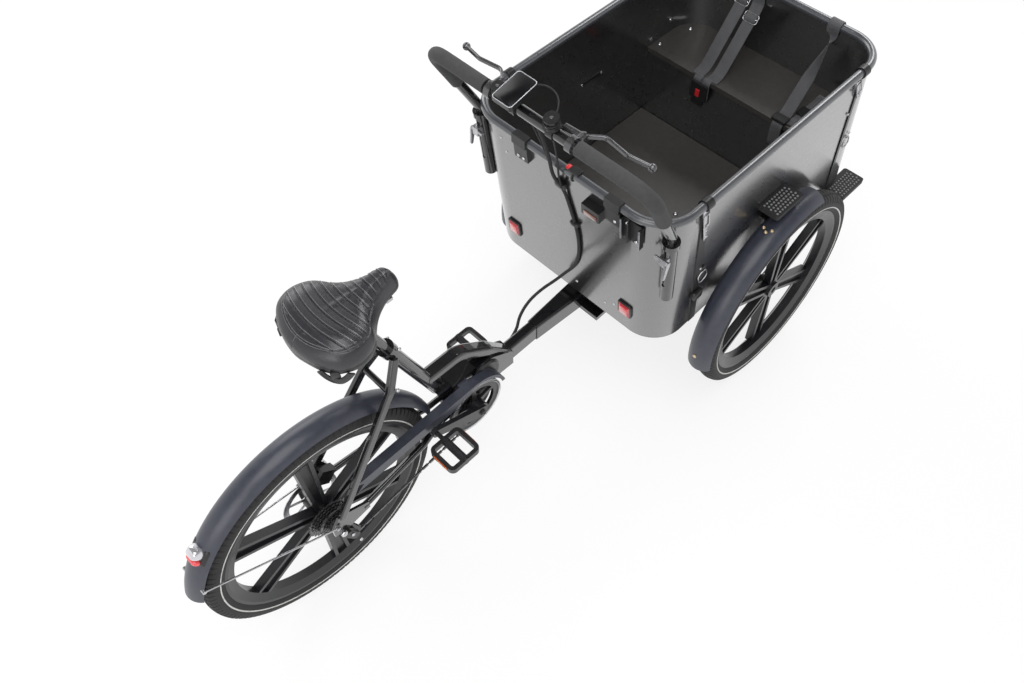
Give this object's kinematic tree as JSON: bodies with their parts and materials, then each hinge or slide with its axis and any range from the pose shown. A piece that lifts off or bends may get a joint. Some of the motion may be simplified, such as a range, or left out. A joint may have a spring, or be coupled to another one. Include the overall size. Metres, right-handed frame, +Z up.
{
  "type": "electric cargo trike",
  "caption": "Cargo trike with a load box and bench on steered front wheels, a handlebar on the box, a mid motor and a driven rear wheel",
  "frame": {"origin": "on the ground, below the middle of the length, in the middle plane", "axes": "+X forward along the length, +Y to the left, +Z up"},
  "size_m": [2.1377, 0.8274, 1.1834],
  "materials": {
    "gloss_black_paint": "gloss black paint",
    "satin_black_panel": "satin black composite panel",
    "film_board": "dark film-faced board",
    "satin_rim": "satin dark grey tube",
    "tyre_rubber": "black rubber with a pale line",
    "cast_black": "satin black cast metal",
    "navy_plastic": "satin black plastic with a blue tint",
    "bare_steel": "bare steel",
    "black_rubber": "soft matte black",
    "black_vinyl": "black vinyl",
    "black_plastic": "black plastic",
    "red_lens": "red reflector lens",
    "clear_lens": "clear and grey lens",
    "webbing": "woven black strap"
  },
  "bodies": {
    "rear_frame": {"main_frame": "gloss_black_paint", "rear_axle": "bare_steel", "motor": "cast_black", "chain_cover": "navy_plastic", "chain": "bare_steel", "rear_derailleur": "black_plastic", "rear_fender": "navy_plastic", "fender_stays": "bare_steel", "tail_light": "clear_lens", "seat_post": "gloss_black_paint", "saddle": "black_vinyl", "saddle_rails": "bare_steel", "rear_caliper": "black_plastic"},
    "rear_wheel": {"rear_tyre": "tyre_rubber", "rear_cast_wheel": "cast_black", "cassette": "bare_steel", "rear_brake_disc": "bare_steel"},
    "cranks": {"crank_set": "cast_black"},
    "pedal_on_right": {"right_pedal": "cast_black"},
    "pedal_on_left": {"left_pedal": "cast_black"},
    "front_carriage": {"carriage_frame": "gloss_black_paint", "box_rear_panel": "satin_black_panel", "box_front_panel": "satin_black_panel", "box_left_panel": "satin_black_panel", "box_right_panel": "satin_black_panel", "box_floor": "film_board", "bench_top": "film_board", "bench_board": "satin_black_panel", "battery": "black_plastic", "rim_tube": "satin_rim", "rim_clamps": "black_plastic", "seam_strips": "black_plastic", "handlebar": "gloss_black_paint", "grips": "black_rubber", "handlebar_posts": "gloss_black_paint", "post_clamps": "bare_steel", "brake_levers": "cast_black", "display": "black_plastic", "bar_controls": "black_plastic", "rim_brackets": "black_plastic", "lamp_box": "black_plastic", "ribbed_plate": "black_plastic", "rear_reflectors": "red_lens", "front_fender_left": "navy_plastic", "front_fender_right": "navy_plastic", "fender_brackets": "gloss_black_paint", "steps": "black_rubber", "front_calipers": "black_plastic", "cable_loom": "black_rubber", "cable_span": "black_rubber", "harness_straps": "webbing"},
    "front_wheel_left": {"front_tyre_left": "tyre_rubber", "front_cast_wheel_left": "cast_black", "front_brake_disc_left": "bare_steel"},
    "front_wheel_right": {"front_tyre_right": "tyre_rubber", "front_cast_wheel_right": "cast_black", "front_brake_disc_right": "bare_steel"}
  },
  "joints": [
    {"name": "steering", "type": "hinge", "parent": "rear_frame", "child": "front_carriage", "pos_m": [0.46792, 0, 0.4], "axis": [0, 0, 1], "range_deg": [-35, 35], "deforming": ["cable_span"]},
    {"name": "rear_wheel_spin", "type": "hinge", "parent": "rear_frame", "child": "rear_wheel", "pos_m": [-0.71708, 0, 0.335], "axis": [0, 1, 0], "continuous": true},
    {"name": "front_left_wheel_spin", "type": "hinge", "parent": "front_carriage", "child": "front_wheel_left", "pos_m": [0.63192, 0.372, 0.31725], "axis": [0, 0.9992, 0.0401], "continuous": true},
    {"name": "front_right_wheel_spin", "type": "hinge", "parent": "front_carriage", "child": "front_wheel_right", "pos_m": [0.63192, -0.372, 0.31725], "axis": [0, 0.9992, -0.0401], "continuous": true},
    {"name": "crank_spin", "type": "hinge", "parent": "rear_frame", "child": "cranks", "pos_m": [-0.24708, 0, 0.332], "axis": [0, 1, 0], "continuous": true},
    {"name": "right_pedal_spin", "type": "hinge", "parent": "cranks", "child": "pedal_on_right", "pos_m": [-0.39718, -0.145, 0.41181], "axis": [0, 1, 0], "continuous": true},
    {"name": "left_pedal_spin", "type": "hinge", "parent": "cranks", "child": "pedal_on_left", "pos_m": [-0.09698, 0.145, 0.25219], "axis": [0, 1, 0], "continuous": true}
  ]
}
